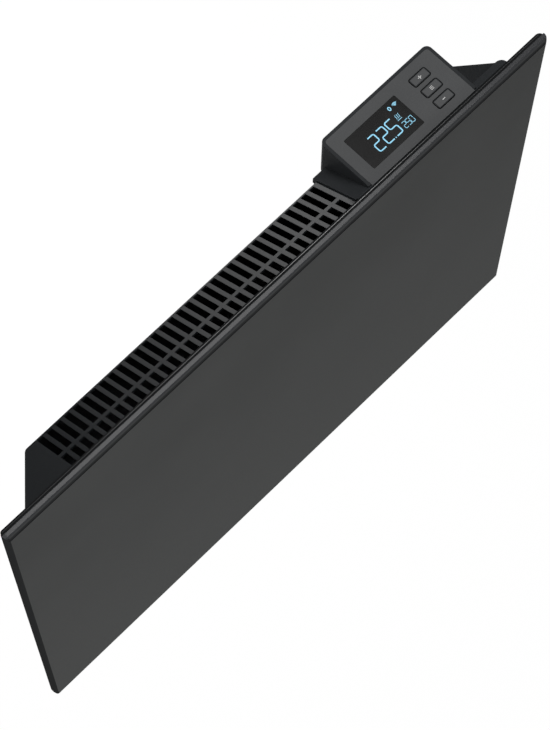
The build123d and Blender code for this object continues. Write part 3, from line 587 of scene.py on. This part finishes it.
def strip(name, left, right, y, z, width, thickness, tilt, material):
    """A thin bevelled strip along X, centred on y and z and tilted back about X."""
    form = bmesh.new()
    bmesh.ops.create_cube(form, size=1.0)
    bmesh.ops.scale(form, verts=form.verts, vec=(right - left, width, thickness))
    long_edges = [edge for edge in form.edges
                  if abs(edge.verts[0].co.x - edge.verts[1].co.x) > width]
    bmesh.ops.bevel(form, geom=long_edges, offset=thickness / 4, affect="EDGES", segments=2,
                    profile=0.5, material=-1)
    leaned = Matrix.Rotation(-math.radians(tilt), 3, "X")
    bmesh.ops.rotate(form, verts=form.verts, cent=(0, 0, 0), matrix=leaned)
    bmesh.ops.translate(form, verts=form.verts, vec=((left + right) / 2, y, z))
    finished_piece(name, form, material, "heater")


def edge_strips():
    """The frame's pale worn edge, and the lips that close the gap up to the control unit."""
    frame_inset, plate_inset = 1.5 * MM, 0.1 * MM
    housing_inset, under_plate = 0.6 * MM, 0.3 * MM
    strip("lip_edge", frame_low[0] + frame_inset, frame_high[0] - frame_inset,
          y=rim_y - 1.6 * MM, z=panel_top - 2.18 * MM, width=0.5 * MM, thickness=0.2 * MM,
          tilt=CASING_SLOPE, material=EDGE)
    sides = (("foot_lip", housing_low[0] + housing_inset, plate_low[0] + under_plate),
             ("rail_lip", plate_high[0] - under_plate, housing_high[0] - housing_inset))
    for name, left, right in sides:
        strip(name, left, right,
              y=rim_y + 0.42 * MM, z=plate_top - 0.75 * MM, width=1.4 * MM, thickness=0.8 * MM,
              tilt=CASING_SLOPE, material=HOUSING)
    strip("plate_lip", plate_low[0] + plate_inset, plate_high[0] - plate_inset,
          y=plate_low[1] + 0.6 * MM, z=plate_top - 0.43 * MM, width=3.4 * MM, thickness=0.8 * MM,
          tilt=0, material=FACE)


display_digits()
display_signs()
PLUS_STROKES = [[(-1.3, 0), (1.3, 0)], [(0, -1.15), (0, 1.15)]]
DASH = 0.24
MENU_STROKES = [[(x - DASH, y), (x + DASH, y)] for x in (-0.8, 0, 0.8) for y in (-0.95, 0, 0.95)]
MINUS_STROKES = [[(-1.1, 0), (1.1, 0)]]
key_sign("key_plus", PLUS_STROKES)
key_sign("key_menu", MENU_STROKES)
key_sign("key_minus", MINUS_STROKES)
# Dark rims round the keys, as painted shade of their gaps
for node in ("key_plus", "key_menu", "key_minus"):
    key_gap_shade(node)
edge_strips()


# Floor, light and camera
WHITE = (1, 1, 1, 1)
FLOOR_Z = -0.75
FLOOR_SIZE = 8.0
FLOOR_WHITE = 1.02      # strength of the floor's own white, just past full white
FLOOR_SHOWN = 0.97      # its share, so that a faint shadow is left
FLOOR_IN_GLOSS = 0.03   # share of that white which gloss mirrors
AIR_IN_GLOSS = 0.12     # share of the white surroundings which gloss mirrors
FILL = 0.15             # strength of the plain light from all sides
PHOTO_HEIGHT = 730      # pixels
FOCAL_LENGTH = 2600     # pixels, as solved
SENSOR_HEIGHT = 36.0    # millimetres


def pale_floor():
    """Pale floor far below the heater: white to the camera, with a faint shadow."""
    form = bmesh.new()
    bmesh.ops.create_grid(form, x_segments=1, y_segments=1, size=FLOOR_SIZE)
    bmesh.ops.translate(form, verts=form.verts, vec=(0, 0, FLOOR_Z))
    mesh = bpy.data.meshes.new("pale_floor")
    form.to_mesh(mesh)
    form.free()
    finish = Finish("pale_floor", 0.9, specular=0.0)
    finish.surface(Base_Color=shade(135, 135, 133))
    white = finish.node("ShaderNodeEmission", sockets={"Color": WHITE, "Strength": FLOOR_WHITE})
    diffuse = Signal(finish, finish.shader.outputs[0])
    mask = finish.background_rays(FLOOR_IN_GLOSS) * FLOOR_SHOWN
    finish.mixed(mask, diffuse, white, finish.nodes["Material Output"])
    mesh.materials.append(finish.material)
    floor = bpy.data.objects.new("pale_floor", mesh)
    bpy.context.scene.collection.objects.link(floor)


def studio_air():
    """White surroundings to the camera and a little to gloss, and a plain soft fill."""
    world = bpy.data.worlds.new("studio")
    tree = Tree(world)
    fill = tree.node("ShaderNodeBackground", sockets={"Color": WHITE, "Strength": FILL})
    white = tree.node("ShaderNodeBackground", sockets={"Color": WHITE, "Strength": 1.0})
    mask = tree.background_rays(AIR_IN_GLOSS)
    tree.mixed(mask, fill, white, tree.nodes["World Output"])
    bpy.context.scene.world = world


def soft_lamp(name, place, target, size, power, mirrored=True):
    """A square soft lamp turned towards a point. Gloss shows it unless mirrored is off."""
    lamp = bpy.data.lights.new(name, "AREA")
    lamp.shape = "SQUARE"
    lamp.size = size
    lamp.energy = power
    holder = bpy.data.objects.new(name, lamp)
    holder.location = place
    holder.visible_glossy = mirrored
    aim = Vector(target) - Vector(place)
    holder.rotation_euler = aim.to_track_quat("-Z", "Y").to_euler()
    bpy.context.scene.collection.objects.link(holder)


def photo_camera():
    """The photograph's camera, solved from the grille's slots and the panel's corners."""
    heading = math.radians(45.08)
    fall = math.radians(69.56)
    level = math.cos(fall)
    aim = Vector((level * math.sin(heading), level * math.cos(heading), -math.sin(fall)))
    lens = bpy.data.cameras.new("photo_camera")
    lens.sensor_fit = "VERTICAL"
    lens.sensor_height = SENSOR_HEIGHT
    lens.lens = FOCAL_LENGTH / PHOTO_HEIGHT * SENSOR_HEIGHT
    lens.shift_x = 0.0120
    lens.shift_y = 0.0112
    lens.clip_end = 50.0
    camera = bpy.data.objects.new("photo_camera", lens)
    camera.location = (-0.4184, -0.4712, 1.6054)
    camera.rotation_euler = aim.to_track_quat("-Z", "Y").to_euler()
    bpy.context.scene.collection.objects.link(camera)
    bpy.context.scene.camera = camera


pale_floor()
studio_air()
soft_lamp("above", (0.24, 0.2, 1.6), (0.05, -0.05, 0.2), size=0.76, power=13.8)
soft_lamp("front", (-0.4, -2.3, 0.45), (0, 0, 0), size=1.0, power=34.0, mirrored=False)
soft_lamp("behind", (0.15, 0.8, -0.58), (0, 0, 0), size=0.3, power=30.0, mirrored=False)
soft_lamp("left", (-2.2, -0.2, 0.5), (0, 0, 0.15), size=0.8, power=17.0, mirrored=False)
BACK_LAMPS = ((0.55, 0.54, 0.85), (0.64, 0.4, 0.72), (0.73, 0.22, 0.27))
for number, (x, size, power) in enumerate(BACK_LAMPS):
    soft_lamp(f"back_{number}", (x, 2.0, 0.36), (0.05, -0.05, 0.19), size, power)
photo_camera()
bpy.context.scene.view_settings.view_transform = "Standard"
